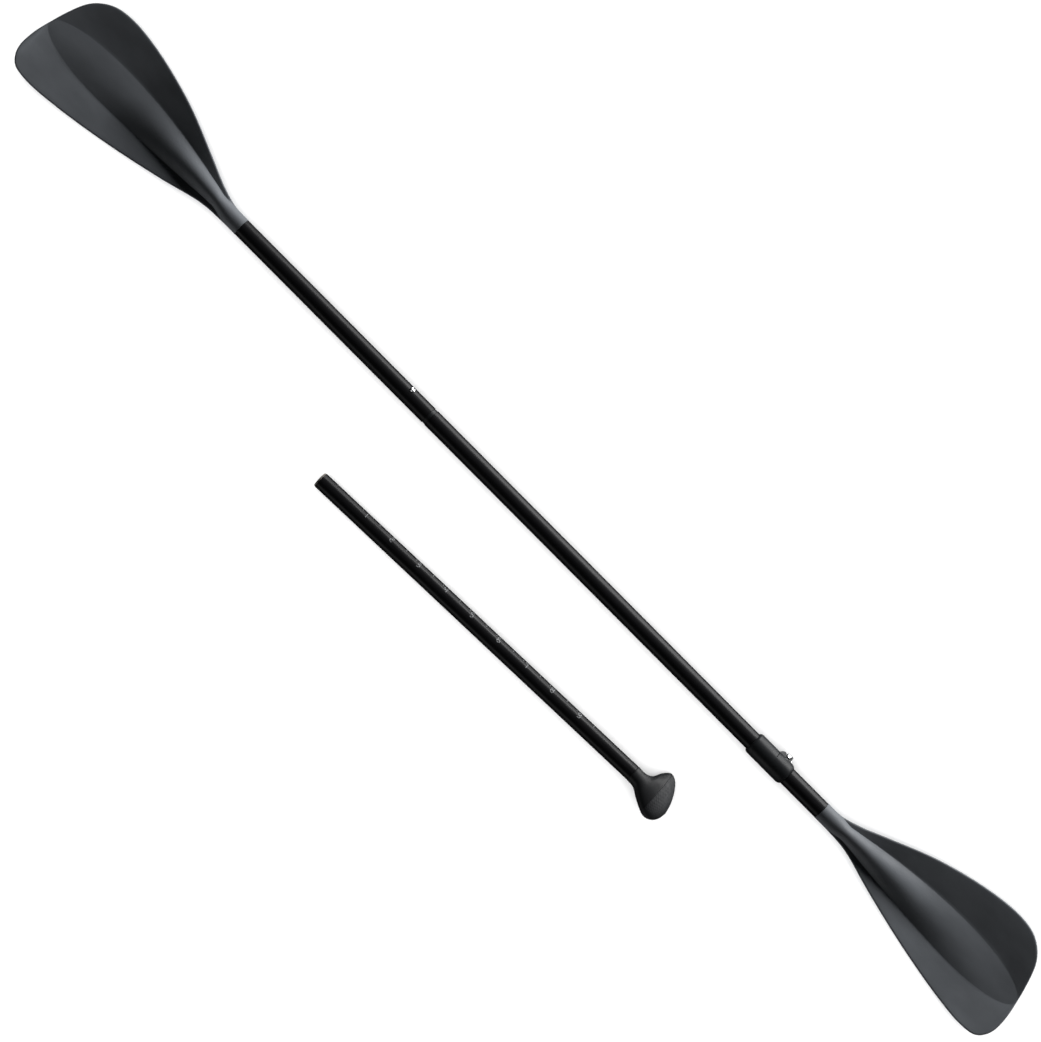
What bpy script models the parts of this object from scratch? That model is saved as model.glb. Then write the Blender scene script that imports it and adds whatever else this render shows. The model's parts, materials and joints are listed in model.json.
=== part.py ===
"""Two-in-one kayak and paddleboard paddle: a double-bladed kayak paddle with its spare palm-grip section.

The paddle lies along X, blade faces up, with its shaft axis SHAFT_HEIGHT above the ground it lies on.
Units are metres. Pieces that move are parented to empties that stand on their joints' axes.
"""

import math

import bmesh
import bpy
from mathutils import Matrix, Vector

# Overall layout along the shaft, blade A at -X and blade B at +X.
HALF_LENGTH = 1.076
SHAFT_Y = 0.0485
SHAFT_HEIGHT = 0.0255
GAP = 0.0003

# Tubes.
TUBE_RADIUS = 0.0150
TUBE_BORE = 0.0139
SLEEVE_RADIUS = 0.01365
SLEEVE_BORE = 0.0124
SPIGOT_RADIUS = TUBE_BORE - GAP
SMALL_SPIGOT_RADIUS = SLEEVE_BORE - GAP
TUBE_SIDES = 32
FOAM_SIDES = 18

# Stations along X.
NECK_A = -0.6310
TUBE_A_END = -0.2200
MAIN_START = -0.2140
MAIN_END = 0.5650
COLLAR_START = 0.4930
COLLAR_END = 0.5675
TUBE_B_START = 0.5680
NECK_B = 0.6435
SLEEVE_INSERT = 0.2000

# Snap button.
BUTTON_X = -0.2650
BUTTON_TILT = math.radians(44)
BUTTON_RADIUS = 0.0044
BUTTON_TOP = 0.0176
BUTTON_HOLE = BUTTON_RADIUS + GAP
FERRULE_BORE = 0.0110

# Clamp, in the (radial, tangential) frame of its ears.
COLLAR_RADIUS = 0.0188
EAR_ANGLE = math.radians(-30)
SCREW_X = 0.5500
SCREW_R = 0.0223
PIVOT_H = -0.0106
CAM_RADIUS = 0.0050
CAM_THROW = 0.0006
BARREL_RADIUS = 0.0030
LEVER_WIDTH = 0.0210
EAR_LOW = -0.0035
EAR_HIGH = 0.0070

# Blades.
NECK_RADIUS = 0.0152
BLADE_DIP = 0.0238
BLADE_TIP_LIFT = 0.0170
WING_TILT = 0.17
WEB_HALF = 0.0020
RIM_RADIUS = 0.0032
RIDGE_DRIFT_A = 0.0140
RIDGE_DRIFT_B = 0.0090
RIDGE_HALF = 0.0327
RIDGE_WAIST = 0.0122
BLADE_B_SWEEP = -0.0055

# Palm-grip section, which lies beside the paddle.
GRIP_TUBE_START = -0.3255
GRIP_TUBE_END = 0.3380
GRIP_END = 0.4177
GRIP_SECTION_AT = (0.0583, -0.1784)
GRIP_SECTION_TURN = math.radians(2.0)
GRIP_SECTION_TILT = math.radians(1.13)
GRIP_ROLL = math.radians(-30)
PAD_THICKNESS = 0.0015

BLACK_PLASTIC = ("moulded_plastic", (0.020, 0.021, 0.022), 0.42, 0.0)
SOFT_PLASTIC = ("soft_plastic", (0.016, 0.017, 0.018), 0.62, 0.0)
BLACK_TUBE = ("anodised_tube", (0.012, 0.012, 0.014), 0.30, 0.35)
STEEL = ("stainless_steel", (0.62, 0.63, 0.64), 0.25, 1.0)
SPRING_STEEL = ("spring_steel", (0.45, 0.45, 0.46), 0.35, 1.0)
GREY_PLASTIC = ("grey_plastic", (0.12, 0.11, 0.10), 0.50, 0.0)
FOAM = ("closed_cell_foam", (0.55, 0.55, 0.52), 0.90, 0.0)


def clear_scene():
    for obj in list(bpy.data.objects):
        bpy.data.objects.remove(obj, do_unlink=True)


def material(spec):
    name, colour, roughness, metallic = spec
    if name in bpy.data.materials:
        return bpy.data.materials[name]
    made = bpy.data.materials.new(name)
    made.use_nodes = True
    shader = made.node_tree.nodes["Principled BSDF"]
    shader.inputs["Base Color"].default_value = (*colour, 1.0)
    shader.inputs["Roughness"].default_value = roughness
    shader.inputs["Metallic"].default_value = metallic
    return made


def empty(name, location, rotation=(0, 0, 0), parent=None):
    made = bpy.data.objects.new(name, None)
    bpy.context.scene.collection.objects.link(made)
    made.location = location
    made.rotation_euler = rotation
    made.parent = parent
    return made


def add_object(name, bm, spec, parent=None, location=(0, 0, 0), rotation=(0, 0, 0)):
    bmesh.ops.recalc_face_normals(bm, faces=bm.faces)
    mesh = bpy.data.meshes.new(name)
    bm.to_mesh(mesh)
    bm.free()
    made = bpy.data.objects.new(name, mesh)
    bpy.context.scene.collection.objects.link(made)
    made.parent = parent
    made.location = location
    made.rotation_euler = rotation
    if spec:
        mesh.materials.append(material(spec))
        mesh.shade_smooth()
        mesh.set_sharp_from_angle(angle=math.radians(35))
    return made


def boolean(target, tool, operation="DIFFERENCE"):
    """Adds a Boolean of target with tool, and hides the tool."""
    tool.hide_render = True
    tool.display_type = "WIRE"
    made = target.modifiers.new(tool.name, "BOOLEAN")
    made.operation = operation
    made.object = tool
    made.solver = "EXACT"
    return made


def turned(profile, sides=TUBE_SIDES, along="X"):
    """A solid turned about X or Z. The profile is a closed loop of (along, radius) points."""
    bm = bmesh.new()
    if along == "X":
        points = [Vector((a, 0, r)) for a, r in profile]
        axis = (1, 0, 0)
    else:
        points = [Vector((r, 0, a)) for a, r in profile]
        axis = (0, 0, 1)
    verts = [bm.verts.new(p) for p in points]
    edges = [bm.edges.new((verts[i], verts[(i + 1) % len(verts)])) for i in range(len(verts))]
    on_axis = [e for e in edges if all(math.hypot(*axis_distance(v.co, along)) < 1e-9 for v in e.verts)]
    bmesh.ops.delete(bm, geom=on_axis, context="EDGES_FACES")
    bmesh.ops.spin(
        bm, geom=bm.verts[:] + bm.edges[:], cent=(0, 0, 0), axis=axis,
        angle=2 * math.pi, steps=sides, use_merge=True, use_duplicate=False,
    )
    bmesh.ops.remove_doubles(bm, verts=bm.verts, dist=1e-6)
    return bm


def axis_distance(co, along):
    return (co.y, co.z) if along == "X" else (co.x, co.y)


def tube_profile(start, end, outer, bore, chamfer=0.0004):
    return [
        (start, bore),
        (start, outer - chamfer),
        (start + chamfer, outer),
        (end - chamfer, outer),
        (end, outer - chamfer),
        (end, bore),
    ]


def plug_profile(start, end, radius, chamfer=0.0010):
    return [
        (start, 0),
        (start, radius - chamfer),
        (start + chamfer, radius),
        (end - chamfer, radius),
        (end, radius - chamfer),
        (end, 0),
    ]


def extruded(outline, low, high, matrix=None):
    """A prism of a flat outline of (u, v) points, from w = low to w = high."""
    bm = bmesh.new()
    base = bm.faces.new([bm.verts.new((u, v, low)) for u, v in outline])
    moved = bmesh.ops.extrude_face_region(bm, geom=[base])["geom"]
    far_end = [g for g in moved if isinstance(g, bmesh.types.BMVert)]
    bmesh.ops.translate(bm, verts=far_end, vec=(0, 0, high - low))
    if matrix:
        bm.transform(matrix)
    return bm


def box(low, high):
    bm = bmesh.new()
    bmesh.ops.create_cube(bm, size=1.0)
    size = [b - a for a, b in zip(low, high)]
    centre = [(a + b) / 2 for a, b in zip(low, high)]
    bmesh.ops.scale(bm, vec=size, verts=bm.verts)
    bmesh.ops.translate(bm, vec=centre, verts=bm.verts)
    return bm


def arc(centre, radius, start_deg, end_deg, steps):
    """Points on a circular arc, ends included."""
    points = []
    for i in range(steps + 1):
        angle = math.radians(start_deg + (end_deg - start_deg) * i / steps)
        points.append((centre[0] + radius * math.cos(angle), centre[1] + radius * math.sin(angle)))
    return points


def smoothstep(value):
    value = min(max(value, 0.0), 1.0)
    return value * value * (3 - 2 * value)


def spline(points, per_span):
    """A centripetal Catmull-Rom curve through the points, as a list of tuples."""
    pts = [Vector(p) for p in points]
    pts = [2 * pts[0] - pts[1]] + pts + [2 * pts[-1] - pts[-2]]
    curve = []
    for i in range(1, len(pts) - 2):
        p0, p1, p2, p3 = pts[i - 1:i + 3]
        t1 = (p1 - p0).length ** 0.5
        t2 = t1 + (p2 - p1).length ** 0.5
        t3 = t2 + (p3 - p2).length ** 0.5
        for step in range(per_span):
            t = t1 + (t2 - t1) * step / per_span
            a1 = p0 * ((t1 - t) / t1) + p1 * (t / t1)
            a2 = p1 * ((t2 - t) / (t2 - t1)) + p2 * ((t - t1) / (t2 - t1))
            a3 = p2 * ((t3 - t) / (t3 - t2)) + p3 * ((t - t2) / (t3 - t2))
            b1 = a1 * ((t2 - t) / t2) + a2 * (t / t2)
            b2 = a2 * ((t3 - t) / (t3 - t1)) + a3 * ((t - t1) / (t3 - t1))
            curve.append(tuple(b1 * ((t2 - t) / (t2 - t1)) + b2 * ((t - t1) / (t2 - t1))))
    curve.append(tuple(pts[-2]))
    return curve


def lookup(curve, value):
    """The second coordinate of a curve of (key, value) points, at a key."""
    for (k0, v0), (k1, v1) in zip(curve, curve[1:]):
        if k0 <= value <= k1:
            return v0 + (v1 - v0) * (value - k0) / (k1 - k0)
    return curve[0][1] if value < curve[0][0] else curve[-1][1]


# ---------------------------------------------------------------- blades

# One edge of the blade, as (distance from the tip, offset from the shaft axis): round the
# tip from the long edge to the wide one. The end slopes back towards the wide edge.
BLADE_OUTLINE = [
    (0.445, -0.0152),
    (0.415, -0.0153),
    (0.375, -0.0178),
    (0.300, -0.0362),
    (0.200, -0.0574),
    (0.100, -0.0730),
    (0.045, -0.0765),
    (0.017, -0.0705),
    (0.003, -0.0500),
    (0.0015, -0.0150),
    (0.014, 0.0388),
    (0.033, 0.0800),
    (0.060, 0.1010),
    (0.092, 0.1077),
    (0.150, 0.1030),
    (0.250, 0.0783),
    (0.340, 0.0430),
    (0.380, 0.0265),
    (0.415, 0.0163),
    (0.445, 0.0152),
]
FAN_CENTRE = 0.085
SIDE_STATIONS = 19
FAN_RAYS = 16
RIM_INSETS = (0.0, 0.0006, 0.0018, 0.0045)
WING_FRACTIONS = (0.62, 0.28)
RIDGE_FRACTIONS = (1.0, 0.78, 0.52, 0.26, 0.0)


def ridge_half_width(u):
    """From the neck, the ridge narrows to a waist, widens to RIDGE_HALF and ends in a round nose."""
    waist_at = 0.12
    widest_at = 0.70
    nose_at = 0.985
    if u > widest_at:
        return RIDGE_HALF * math.sqrt(max(0.0, 1 - ((u - widest_at) / (nose_at - widest_at)) ** 2))
    neck = NECK_RADIUS + (RIDGE_WAIST - NECK_RADIUS) * smoothstep((u - 0.04) / 0.10)
    growth = math.sin(math.pi / 2 * min(max((u - waist_at) / (widest_at - waist_at), 0.0), 1.0))
    return neck + (RIDGE_HALF - RIDGE_WAIST) * growth


class BladeShape:
    """The surface of one blade. x runs from the neck, y from the shaft axis, u from neck 0 to tip 1."""

    def __init__(self, length, drift, sweep):
        self.length = length
        self.drift = drift
        self.sweep = sweep

    def swept(self, u):
        return self.sweep * u ** 1.5

    def ridge_centre(self, x):
        """The ridge leaves the shaft axis a little towards the wide edge."""
        u = x / self.length
        drift = self.drift * math.sin(math.pi / 2 * min(u / 0.65, 1.0)) * smoothstep(u / 0.16)
        return drift + self.swept(u)

    def beyond_ridge(self, x, y):
        """How far a point lies outside the ridge's crease, or inside it if negative."""
        return abs(y - self.ridge_centre(x)) - ridge_half_width(x / self.length)

    def heights(self, x, y, inset):
        """The top and bottom at a point that lies inset from the rim.

        The neck is round. Its ridge sinks into two flat wings, which meet it at a crease and
        rise towards the rim.
        """
        u = x / self.length
        off = y - self.ridge_centre(x)
        half = ridge_half_width(u)
        dip = -BLADE_DIP * smoothstep((u - 0.06) / 0.56)
        lift = BLADE_TIP_LIFT * max(0.0, (u - 0.55) / 0.45) ** 2
        wing = WING_TILT * smoothstep((u - 0.05) / 0.30) * max(0.0, abs(off) - half)
        rim = math.sqrt(max(0.0, 1 - (1 - min(inset / RIM_RADIUS, 1.0)) ** 2))
        web = WEB_HALF * smoothstep((u - 0.02) / 0.12) * rim
        power = 0.5 + 0.60 * smoothstep((u - 0.04) / 0.25)
        across = max(0.0, 1 - (off / max(half, 0.001)) ** 2) ** power
        below = max(0.0, 1 - (off / max(half, NECK_RADIUS)) ** 2) ** power
        ridge = (NECK_RADIUS - web) * (1 - smoothstep((u - 0.06) / 0.98)) ** 1.1 * across
        belly = NECK_RADIUS * (1 - smoothstep((u - 0.04) / 0.55)) ** 1.3 * below
        middle = dip + lift + wing
        return middle + web + ridge, middle - math.hypot(belly, web)


def crease_distance(shape, start, direction, reach):
    """The distance along a ray from start at which it crosses the ridge's crease."""
    low = 0.0
    high = reach
    for _ in range(30):
        half_way = (low + high) / 2
        spot = start + direction * half_way
        if shape.beyond_ridge(spot.x, spot.y) < 0:
            low = half_way
        else:
            high = half_way
    return low


def blade_rays(shape):
    """Rows from the ridge's centre line out to the rim, and a fan of them round the tip."""
    length = shape.length
    full = BLADE_OUTLINE[0][0]
    outline = [(length * (1 - d / full), y) for d, y in spline(BLADE_OUTLINE, 10)]
    outline = [(x, y + shape.swept(x / length)) for x, y in outline]
    turn = max(range(len(outline)), key=lambda i: outline[i][0])
    low_edge = outline[:turn + 1]
    high_edge = outline[turn:][::-1]
    centre = Vector((length - FAN_CENTRE, shape.ridge_centre(length - FAN_CENTRE)))
    stations = [centre.x * (i / SIDE_STATIONS) ** 1.15 for i in range(SIDE_STATIONS + 1)]
    low_side = [(Vector((x, shape.ridge_centre(x))), Vector((x, lookup(low_edge, x)))) for x in stations]
    high_side = [(Vector((x, shape.ridge_centre(x))), Vector((x, lookup(high_edge, x)))) for x in stations]
    around = sorted((math.atan2(y - centre.y, x - centre.x), math.hypot(x - centre.x, y - centre.y))
                    for x, y in outline if x > centre.x - 0.01)
    fan = []
    for i in range(1, FAN_RAYS):
        angle = -math.pi / 2 + math.pi * i / FAN_RAYS
        direction = Vector((math.cos(angle), math.sin(angle)))
        fan.append((centre, centre + lookup(around, angle) * direction))
    return low_side + fan + high_side[::-1]


def blade(name, shape, mirror, spigots, parent):
    """A spooned blade with its neck at x = 0 and its tip at +X, or mirrored in X."""
    bm = bmesh.new()
    side = -1 if mirror else 1
    columns = []
    for inner, rim_point in blade_rays(shape):
        reach = (rim_point - inner).length
        direction = (rim_point - inner) / reach
        web_end = reach - RIM_INSETS[-1]
        crease = min(crease_distance(shape, inner, direction, reach), web_end - 0.0010)
        distances = [reach - inset for inset in RIM_INSETS]
        distances += [crease + (web_end - crease) * f for f in WING_FRACTIONS]
        distances += [crease * f for f in RIDGE_FRACTIONS]
        column_top = []
        column_bottom = []
        for distance in distances:
            spot = inner + direction * distance
            top, bottom = shape.heights(spot.x, spot.y, reach - distance)
            column_top.append(bm.verts.new((side * spot.x, spot.y, top)))
            column_bottom.append(bm.verts.new((side * spot.x, spot.y, bottom)))
        columns.append((column_top, column_bottom))
    for (top_a, bottom_a), (top_b, bottom_b) in zip(columns, columns[1:]):
        for k in range(len(top_a) - 1):
            bm.faces.new((top_a[k], top_a[k + 1], top_b[k + 1], top_b[k]))
            bm.faces.new((bottom_a[k], bottom_b[k], bottom_b[k + 1], bottom_a[k + 1]))
    bmesh.ops.remove_doubles(bm, verts=bm.verts, dist=1e-6)
    open_edges = [e for e in bm.edges if e.is_boundary]
    bmesh.ops.contextual_create(bm, geom=open_edges)
    bmesh.ops.triangulate(bm, faces=[f for f in bm.faces if len(f.verts) > 4])
    made = add_object(name, bm, BLACK_PLASTIC, parent)

    profile = [(0.004, 0)]
    reached = 0.004
    for end, radius in spigots:
        profile += [(reached, radius), (end + 0.001, radius), (end, radius - 0.001)]
        reached = end
    profile.append((reached, 0))
    spigot = add_object(name + "_spigot", turned([(side * x, r) for x, r in profile]), None, parent)
    boolean(made, spigot, "UNION")
    return made


# ---------------------------------------------------------------- seam with the snap button

def radial_frame(x, tilt):
    """Rotation that turns local Z from straight up towards +Y by tilt."""
    return Matrix.Translation((x, 0, 0)) @ Matrix.Rotation(-tilt, 4, "X")


def button_hole_cutter(name, parent):
    cutter = turned([(0.006, 0), (0.006, BUTTON_HOLE), (0.022, BUTTON_HOLE), (0.022, 0)], 24, "Z")
    cutter.transform(radial_frame(BUTTON_X, BUTTON_TILT))
    return add_object(name, cutter, None, parent)


def seam(shaft):
    ferrule_profile = [
        (TUBE_A_END - 0.085, FERRULE_BORE),
        (TUBE_A_END - 0.085, SPIGOT_RADIUS - 0.0020),
        (TUBE_A_END - 0.082, SPIGOT_RADIUS),
        (TUBE_A_END + GAP, SPIGOT_RADIUS),
        (TUBE_A_END + GAP, 0.0143),
        (MAIN_START - GAP, 0.0143),
        (MAIN_START - GAP, SPIGOT_RADIUS),
        (MAIN_START + 0.062, SPIGOT_RADIUS),
        (MAIN_START + 0.064, SPIGOT_RADIUS - 0.0015),
        (MAIN_START + 0.064, FERRULE_BORE),
    ]
    ferrule = add_object("seam_ferrule", turned(ferrule_profile), BLACK_PLASTIC, shaft)
    boolean(ferrule, button_hole_cutter("ferrule_hole", shaft))

    pivot = empty("button_axis", (BUTTON_X, 0, 0), (-BUTTON_TILT, 0, 0), shaft)
    profile = [
        (0.0078, 0),
        (0.0078, 0.0055),
        (0.0090, 0.0055),
        (0.0090, BUTTON_RADIUS),
        (0.0158, BUTTON_RADIUS),
        (0.0168, 0.0041),
        (0.0174, 0.0034),
        (BUTTON_TOP, 0.0026),
        (0.0173, 0.0017),
        (0.0169, 0.0008),
        (0.0168, 0),
    ]
    add_object("snap_button", turned(profile, 20, "Z"), STEEL, pivot)

    thickness = 0.0005
    middle = [(-0.0060, 0.0071), (0.0040, 0.0071), (0.0290, 0.0015)]
    middle += arc((0.0290, -0.0018), 0.0033, 90, -90, 6)[1:]
    middle += [(0.0040, -0.0096), (-0.0060, -0.0096)]
    add_object("button_spring", strip(middle, thickness, 0.0070), SPRING_STEEL, pivot)


def strip(middle, thickness, width):
    """A bent leaf of even thickness about a middle line in the XZ plane."""
    left = []
    right = []
    for i, point in enumerate(middle):
        before = Vector(middle[max(i - 1, 0)])
        after = Vector(middle[min(i + 1, len(middle) - 1)])
        along = (after - before).normalized()
        normal = Vector((-along.y, along.x)) * thickness / 2
        left.append(tuple(Vector(point) + normal))
        right.append(tuple(Vector(point) - normal))
    return extruded(left + right[::-1], -width / 2, width / 2, Matrix.Rotation(math.pi / 2, 4, "X"))


# ---------------------------------------------------------------- quick clamp

def ear_frame(shaft):
    """An empty whose X is the shaft, Y points out along the ears and Z along the screw."""
    return empty("ear_frame", (0, 0, 0), (EAR_ANGLE, 0, 0), shaft)


def clamp_collar(shaft, ears):
    profile = [
        (COLLAR_START, TUBE_RADIUS + GAP),
        (COLLAR_START, 0.0162),
        (COLLAR_START + 0.0015, 0.0178),
        (COLLAR_START + 0.0045, COLLAR_RADIUS),
        (COLLAR_END - 0.0055, COLLAR_RADIUS),
        (COLLAR_END - 0.0018, 0.0174),
        (COLLAR_END, 0.0158),
        (COLLAR_END, 0.0141),
        (MAIN_END + GAP, 0.0141),
        (MAIN_END + GAP, TUBE_RADIUS + GAP),
    ]
    collar = add_object("clamp_collar", turned(profile, 40), BLACK_PLASTIC, shaft)
    front = SCREW_X - 0.0150
    back = SCREW_X + 0.0070
    outline = [
        (front, 0.0165),
        (front, 0.0192),
        (front + 0.0015, 0.0216),
        (front + 0.0040, 0.0238),
        (front + 0.0075, 0.0246),
        (front + 0.0085, 0.0240),
        (front + 0.0088, 0.0226),
        (front + 0.0100, 0.0226),
        (front + 0.0103, 0.0255),
        (front + 0.0120, 0.0268),
        (back - 0.0015, 0.0268),
        (back, 0.0255),
        (back + 0.0006, 0.0195),
        (back + 0.0010, 0.0165),
    ]
    boolean(collar, add_object("ear_block", extruded(outline, EAR_LOW, EAR_HIGH), None, ears), "UNION")
    cutters = {
        "split": box((COLLAR_END - 0.0335, 0.010, -0.0009), (COLLAR_END + 0.01, 0.040, 0.0009)),
        "relief_slit": box((COLLAR_END - 0.0340, 0.0003, -0.030), (COLLAR_END - 0.0328, 0.040, 0.030)),
        "screw_hole": turned([(-0.02, 0), (-0.02, 0.0024), (0.02, 0.0024), (0.02, 0)], 20, "Z"),
        "head_recess": turned([(0.0050, 0), (0.0050, 0.0042), (0.02, 0.0042), (0.02, 0)], 28, "Z"),
    }
    for name in ("screw_hole", "head_recess"):
        bmesh.ops.translate(cutters[name], vec=(SCREW_X, SCREW_R, 0), verts=cutters[name].verts)
    for name, bm in cutters.items():
        boolean(collar, add_object(name, bm, None, ears))
    return collar


def clamp_screw(ears):
    axis = empty("screw_axis", (SCREW_X, SCREW_R, 0), (0, 0, 0), ears)
    profile = [
        (-0.0142, 0),
        (-0.0142, 0.0017),
        (-0.0138, 0.0020),
        (0.0063, 0.0020),
        (0.0063, 0.0038),
        (0.0074, 0.0037),
        (0.0083, 0.0031),
        (0.0087, 0.0022),
        (0.0087, 0),
    ]
    screw = add_object("clamp_screw", turned(profile, 24, "Z"), STEEL, axis)
    socket = bmesh.new()
    bmesh.ops.create_cone(socket, cap_ends=True, segments=6, radius1=0.0015, radius2=0.0015, depth=0.004)
    bmesh.ops.translate(socket, vec=(0, 0, 0.0091), verts=socket.verts)
    boolean(screw, add_object("hex_socket", socket, None, axis))
    washer = [(0.0053, 0.0023), (0.0053, 0.0039), (0.0060, 0.0039), (0.0060, 0.0023)]
    add_object("screw_washer", turned(washer, 20, "Z"), STEEL, axis)


def thrust_plate(ears):
    plate = box((SCREW_X - 0.0095, 0.0190, -0.0048), (SCREW_X + 0.0095, 0.0264, -0.0038))
    made = add_object("thrust_plate", plate, STEEL, ears)
    hole = turned([(-0.02, 0), (-0.02, 0.0024), (0.0, 0.0024), (0.0, 0)], 20, "Z")
    bmesh.ops.translate(hole, vec=(SCREW_X, SCREW_R, 0), verts=hole.verts)
    boolean(made, add_object("plate_hole", hole, None, ears))


def barrel_nut(ears):
    half = LEVER_WIDTH / 2
    made = add_object(
        "barrel_nut", turned(plug_profile(-half, half, BARREL_RADIUS, 0.0004), 24), STEEL,
        ears, (SCREW_X, SCREW_R, PIVOT_H),
    )
    hole = turned([(-0.01, 0), (-0.01, 0.0023), (0.01, 0.0023), (0.01, 0)], 20, "Z")
    boolean(made, add_object("nut_hole", hole, None, ears, (SCREW_X, SCREW_R, PIVOT_H)))


def cam_lever(shaft):
    """The lever, drawn in the YZ plane about the shaft axis and moved onto its pivot."""
    along = Vector((math.cos(EAR_ANGLE), math.sin(EAR_ANGLE)))
    up = Vector((-math.sin(EAR_ANGLE), math.cos(EAR_ANGLE)))
    pivot = along * SCREW_R + up * PIVOT_H
    cam = pivot + up * CAM_THROW
    cam_angle = math.degrees(math.atan2(cam.y, cam.x))
    tip_angle = -138.0
    inner = arc((0, 0), COLLAR_RADIUS + 0.0005, tip_angle + 6, cam_angle - 4, 12)
    outer = arc((0, 0), COLLAR_RADIUS + 0.0034, cam_angle - 10, tip_angle + 16, 10)
    outer += arc((0, 0), COLLAR_RADIUS + 0.0046, tip_angle + 8, tip_angle + 2, 1)
    outer += arc((0, 0), COLLAR_RADIUS + 0.0034, tip_angle, tip_angle + 2, 1)
    outline = [(y - pivot.x, z - pivot.y) for y, z in inner + outer]
    to_yz = Matrix(((0, 0, 1, 0), (1, 0, 0, 0), (0, 1, 0, 0), (0, 0, 0, 1)))
    half = LEVER_WIDTH / 2
    axis = empty("lever_axis", (SCREW_X, pivot.x, pivot.y), (0, 0, 0), shaft)
    lever = add_object("cam_lever", extruded(outline, -half, half, to_yz), BLACK_PLASTIC, axis)
    hub = turned(plug_profile(-half, half, CAM_RADIUS, 0.0003), 28)
    offset = cam - pivot
    boolean(lever, add_object("cam_hub", hub, None, axis, (0, offset.x, offset.y)), "UNION")
    bore = turned(plug_profile(-0.02, 0.02, BARREL_RADIUS + 0.0003), 24)
    boolean(lever, add_object("lever_bore", bore, None, axis))
    slot = box((-0.0035, -0.0090, -0.0090), (0.0035, 0.0090, 0.0090))
    boolean(lever, add_object("lever_slot", slot, None, axis))
    return lever


# ---------------------------------------------------------------- shaft

def foam_plug(name, start, end, bore, parent):
    """A light plug that fills a stretch of a tube, so that the paddle floats."""
    add_object(name, turned(plug_profile(start, end, bore - 0.0005), FOAM_SIDES), FOAM, parent)


def shaft_tubes(shaft):
    tube_a = add_object(
        "tube_a", turned(tube_profile(NECK_A + GAP, TUBE_A_END, TUBE_RADIUS, TUBE_BORE)), BLACK_TUBE, shaft
    )
    boolean(tube_a, button_hole_cutter("tube_hole", shaft))
    foam_plug("foam_plug_a", -0.560, -0.330, TUBE_BORE, shaft)
    main = add_object(
        "main_tube", turned(tube_profile(MAIN_START, MAIN_END, TUBE_RADIUS, TUBE_BORE)), BLACK_TUBE, shaft
    )
    foam_plug("foam_plug_main", -0.145, -0.025, TUBE_BORE, shaft)
    return main


def blade_b_section(shaft):
    """The section that slides and turns in the clamp."""
    section = empty("blade_b_section", (0, 0, 0), (0, 0, 0), shaft)
    sleeve_start = TUBE_B_START - SLEEVE_INSERT
    tube_b = tube_profile(TUBE_B_START, NECK_B - GAP, TUBE_RADIUS, TUBE_BORE)
    add_object("tube_b", turned(tube_b), BLACK_TUBE, section)
    add_object(
        "inner_sleeve", turned(tube_profile(sleeve_start, NECK_B - 0.0235, SLEEVE_RADIUS, SLEEVE_BORE)),
        BLACK_TUBE, section,
    )
    plug = [
        (sleeve_start - 0.0028, 0),
        (sleeve_start - 0.0028, 0.0120),
        (sleeve_start - 0.0018, 0.0133),
        (sleeve_start - GAP, 0.0133),
        (sleeve_start - GAP, SMALL_SPIGOT_RADIUS),
        (sleeve_start + 0.0160, SMALL_SPIGOT_RADIUS),
        (sleeve_start + 0.0170, SMALL_SPIGOT_RADIUS - 0.001),
        (sleeve_start + 0.0170, 0),
    ]
    add_object("sleeve_plug", turned(plug), GREY_PLASTIC, section)
    foam_plug("foam_plug_b", 0.430, 0.560, SLEEVE_BORE, section)
    neck = empty("blade_b_neck", (NECK_B, 0, 0), (0, 0, 0), section)
    shape = BladeShape(HALF_LENGTH - NECK_B, RIDGE_DRIFT_B, BLADE_B_SWEEP)
    blade("blade_b", shape, False, [(-0.0230, SPIGOT_RADIUS), (-0.0600, SMALL_SPIGOT_RADIUS)], neck)


# ---------------------------------------------------------------- palm-grip section

# The palm grip's edges, as (distance along its axis, offset along its bar).
GRIP_HIGH = [
    (0.3380, 0.0136), (0.3540, 0.0132), (0.3640, 0.0182), (0.3730, 0.0345), (0.3840, 0.0448),
    (0.3950, 0.0405), (0.4060, 0.0250), (0.4140, 0.0052), (0.4177, -0.0130),
]
GRIP_LOW = [
    (0.3380, -0.0136), (0.3520, -0.0153), (0.3660, -0.0255), (0.3800, -0.0350), (0.3940, -0.0412),
    (0.4060, -0.0378), (0.4140, -0.0280), (0.4177, -0.0130),
]
GRIP_HALF_THICKNESS = [
    (0.3380, 0.0136), (0.3560, 0.0134), (0.3720, 0.0155), (0.3880, 0.0170), (0.4030, 0.0142),
    (0.4120, 0.0090), (0.4177, 0.0),
]
PAD_START = 0.3860


def grip_ring(s, inset, sides, slope=0.0):
    """One ring of the grip's surface, as points, moved in by inset."""
    points = []
    for i in range(sides):
        angle = 2 * math.pi * i / sides
        at = s + slope * math.cos(angle)
        high = lookup(GRIP_CURVES[0], at)
        low = lookup(GRIP_CURVES[1], at)
        thick = lookup(GRIP_CURVES[2], at)
        half = max((high - low) / 2 - inset, 0.0)
        y = (high + low) / 2 + half * math.copysign(abs(math.cos(angle)) ** 0.92, math.cos(angle))
        z = max(thick - inset, 0.0) * math.copysign(abs(math.sin(angle)) ** 0.92, math.sin(angle))
        points.append((at, y, z))
    return points


GRIP_CURVES = [spline(points, 8) for points in (GRIP_HIGH, GRIP_LOW, GRIP_HALF_THICKNESS)]


def skin(bm, rings):
    """Joins rings of equal count with faces, and returns their vertices."""
    made = [[bm.verts.new(p) for p in ring] for ring in rings]
    for a, b in zip(made, made[1:]):
        for i in range(len(a)):
            j = (i + 1) % len(a)
            bm.faces.new((a[i], a[j], b[j], b[i]))
    return made


def eased(start, end, steps):
    """Stations from start to end that crowd towards the end."""
    return [start + (end - start) * math.sin(math.pi / 2 * i / steps) for i in range(steps + 1)]


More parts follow.
